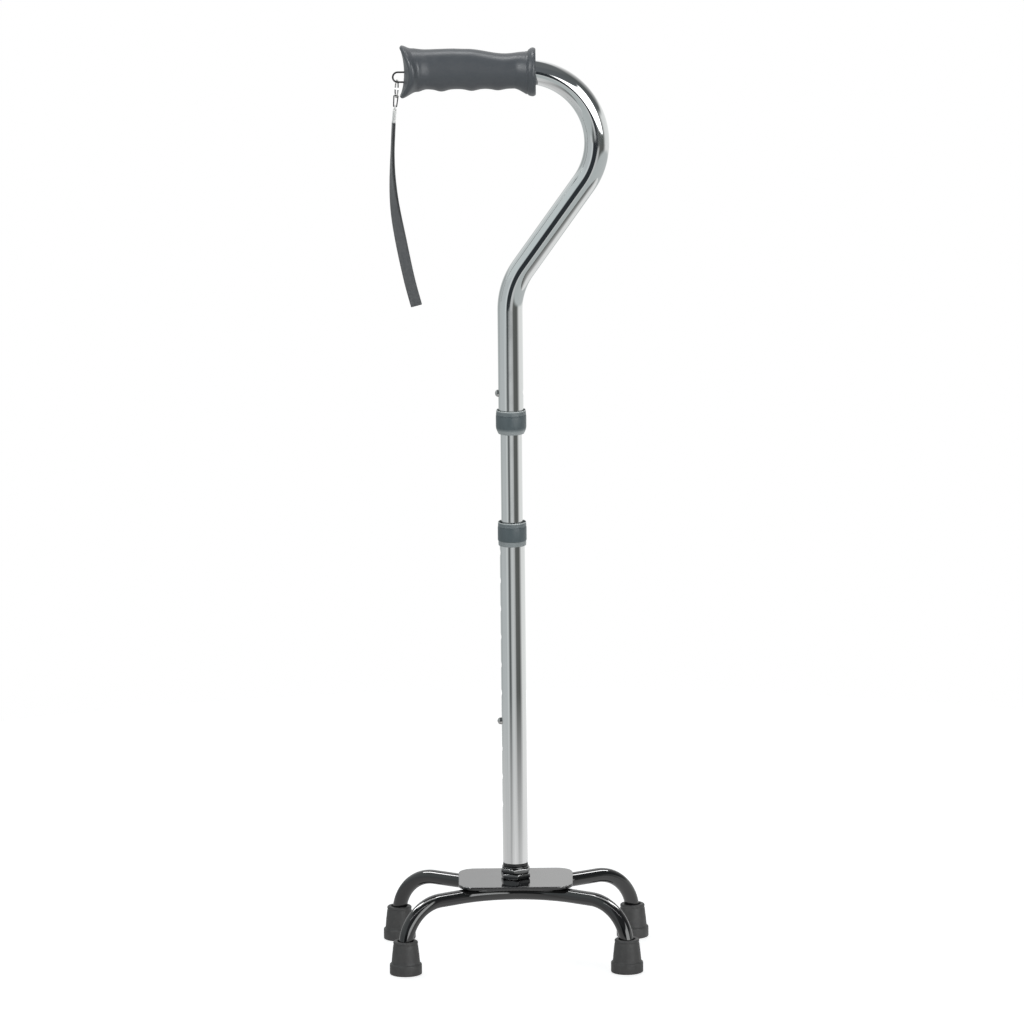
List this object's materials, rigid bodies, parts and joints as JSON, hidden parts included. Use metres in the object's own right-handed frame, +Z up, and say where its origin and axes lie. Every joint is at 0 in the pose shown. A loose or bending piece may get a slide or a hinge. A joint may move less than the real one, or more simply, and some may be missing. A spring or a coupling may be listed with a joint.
{
  "type": "quad walking cane",
  "caption": "Height-adjustable quad walking cane with a swan-neck handle, moulded grip, wrist strap, lock rings and a plate base on bent legs with rubber tips",
  "frame": {"origin": "on the floor under the axis of the shaft, which is the middle of the footprint", "axes": "+Z up along the shaft; the grip points to -X; the wider pair of feet is on the +Y side"},
  "size_m": [0.2376, 0.1626, 0.8215],
  "materials": {
    "tube_metal": "polished and bright anodised",
    "black_paint": "gloss powder coat",
    "black_steel": "gloss black",
    "steel": "plain steel",
    "hardware_chrome": "polished",
    "ring_plastic": "satin gloss grey",
    "bush_plastic": "matt black",
    "grip_vinyl": "satin moulded vinyl, slate grey",
    "tip_rubber": "matt charcoal rubber",
    "webbing": "woven dark grey webbing"
  },
  "bodies": {
    "base": {"base_plate": "black_paint", "front_leg": "black_paint", "rear_leg": "black_paint", "front_weld": "black_paint", "rear_weld": "black_paint", "front_left_tip": "tip_rubber", "front_right_tip": "tip_rubber", "rear_left_tip": "tip_rubber", "rear_right_tip": "tip_rubber", "front_left_tip_disc": "steel", "front_right_tip_disc": "steel", "rear_left_tip_disc": "steel", "rear_right_tip_disc": "steel", "stem_washer": "black_steel", "jam_nut": "black_steel", "base_nut": "black_steel", "under_washer": "steel", "under_nut": "black_steel"},
    "lower_shaft": {"lower_tube": "tube_metal", "stem_plug": "black_steel", "lower_bush": "bush_plastic"},
    "lower_ring": {"lower_lock_ring": "ring_plastic"},
    "middle_shaft": {"middle_tube": "tube_metal", "lower_button_spring": "steel", "upper_button_spring": "steel"},
    "lower_snap": {"lower_button": "hardware_chrome"},
    "upper_snap": {"upper_button": "hardware_chrome"},
    "handle": {"handle_tube": "tube_metal", "grip": "grip_vinyl", "grip_plug": "bush_plastic", "strap_eye": "hardware_chrome", "upper_bush": "bush_plastic"},
    "upper_ring": {"upper_lock_ring": "ring_plastic"},
    "ring": {"strap_ring": "hardware_chrome"},
    "link": {"strap_link": "hardware_chrome"},
    "strap": {"strap_ferrule": "hardware_chrome", "wrist_strap": "webbing"}
  },
  "joints": [
    {"name": "stem_turn", "type": "hinge", "parent": "base", "child": "lower_shaft", "pos_m": [0, 0, 0.08], "axis": [0, 0, 1], "range_deg": [0, 180]},
    {"name": "lower_ring_turn", "type": "hinge", "parent": "lower_shaft", "child": "lower_ring", "pos_m": [0, 0, 0.384], "axis": [0, 0, 1], "range_deg": [0, 360]},
    {"name": "height_slide", "type": "slide", "parent": "lower_shaft", "child": "middle_shaft", "axis": [0, 0, 1], "range_m": [-0.0762, 0.1524], "deforming": ["lower_button"]},
    {"name": "lower_button_press", "type": "slide", "parent": "middle_shaft", "child": "lower_snap", "axis": [1, 0, 0], "range_m": [0, 0.0052], "stiffness_N_per_m": 1200, "springref_m": -0.002, "deforming": ["lower_button_spring"]},
    {"name": "upper_button_press", "type": "slide", "parent": "middle_shaft", "child": "upper_snap", "axis": [1, 0, 0], "range_m": [0, 0.0044], "stiffness_N_per_m": 1200, "springref_m": -0.002, "deforming": ["upper_button_spring"]},
    {"name": "handle_turn", "type": "hinge", "parent": "middle_shaft", "child": "handle", "pos_m": [0, 0, 0.51], "axis": [0, 0, 1], "range_deg": [0, 180], "deforming": ["upper_button"]},
    {"name": "upper_ring_turn", "type": "hinge", "parent": "handle", "child": "upper_ring", "pos_m": [0, 0, 0.484], "axis": [0, 0, 1], "range_deg": [0, 360]},
    {"name": "strap_ring_swing", "type": "hinge", "parent": "handle", "child": "ring", "pos_m": [-0.0969, 0, 0.79065], "axis": [0, 1, 0], "range_deg": [-4, 70]},
    {"name": "strap_link_swing", "type": "hinge", "parent": "ring", "child": "link", "pos_m": [-0.09821, 0, 0.77701], "axis": [0.9954, 0, -0.0958], "range_deg": [-45, 45]},
    {"name": "strap_swing", "type": "hinge", "parent": "link", "child": "strap", "pos_m": [-0.09916, 0, 0.76716], "axis": [0.9954, 0, -0.0958], "range_deg": [-60, 60]}
  ]
}
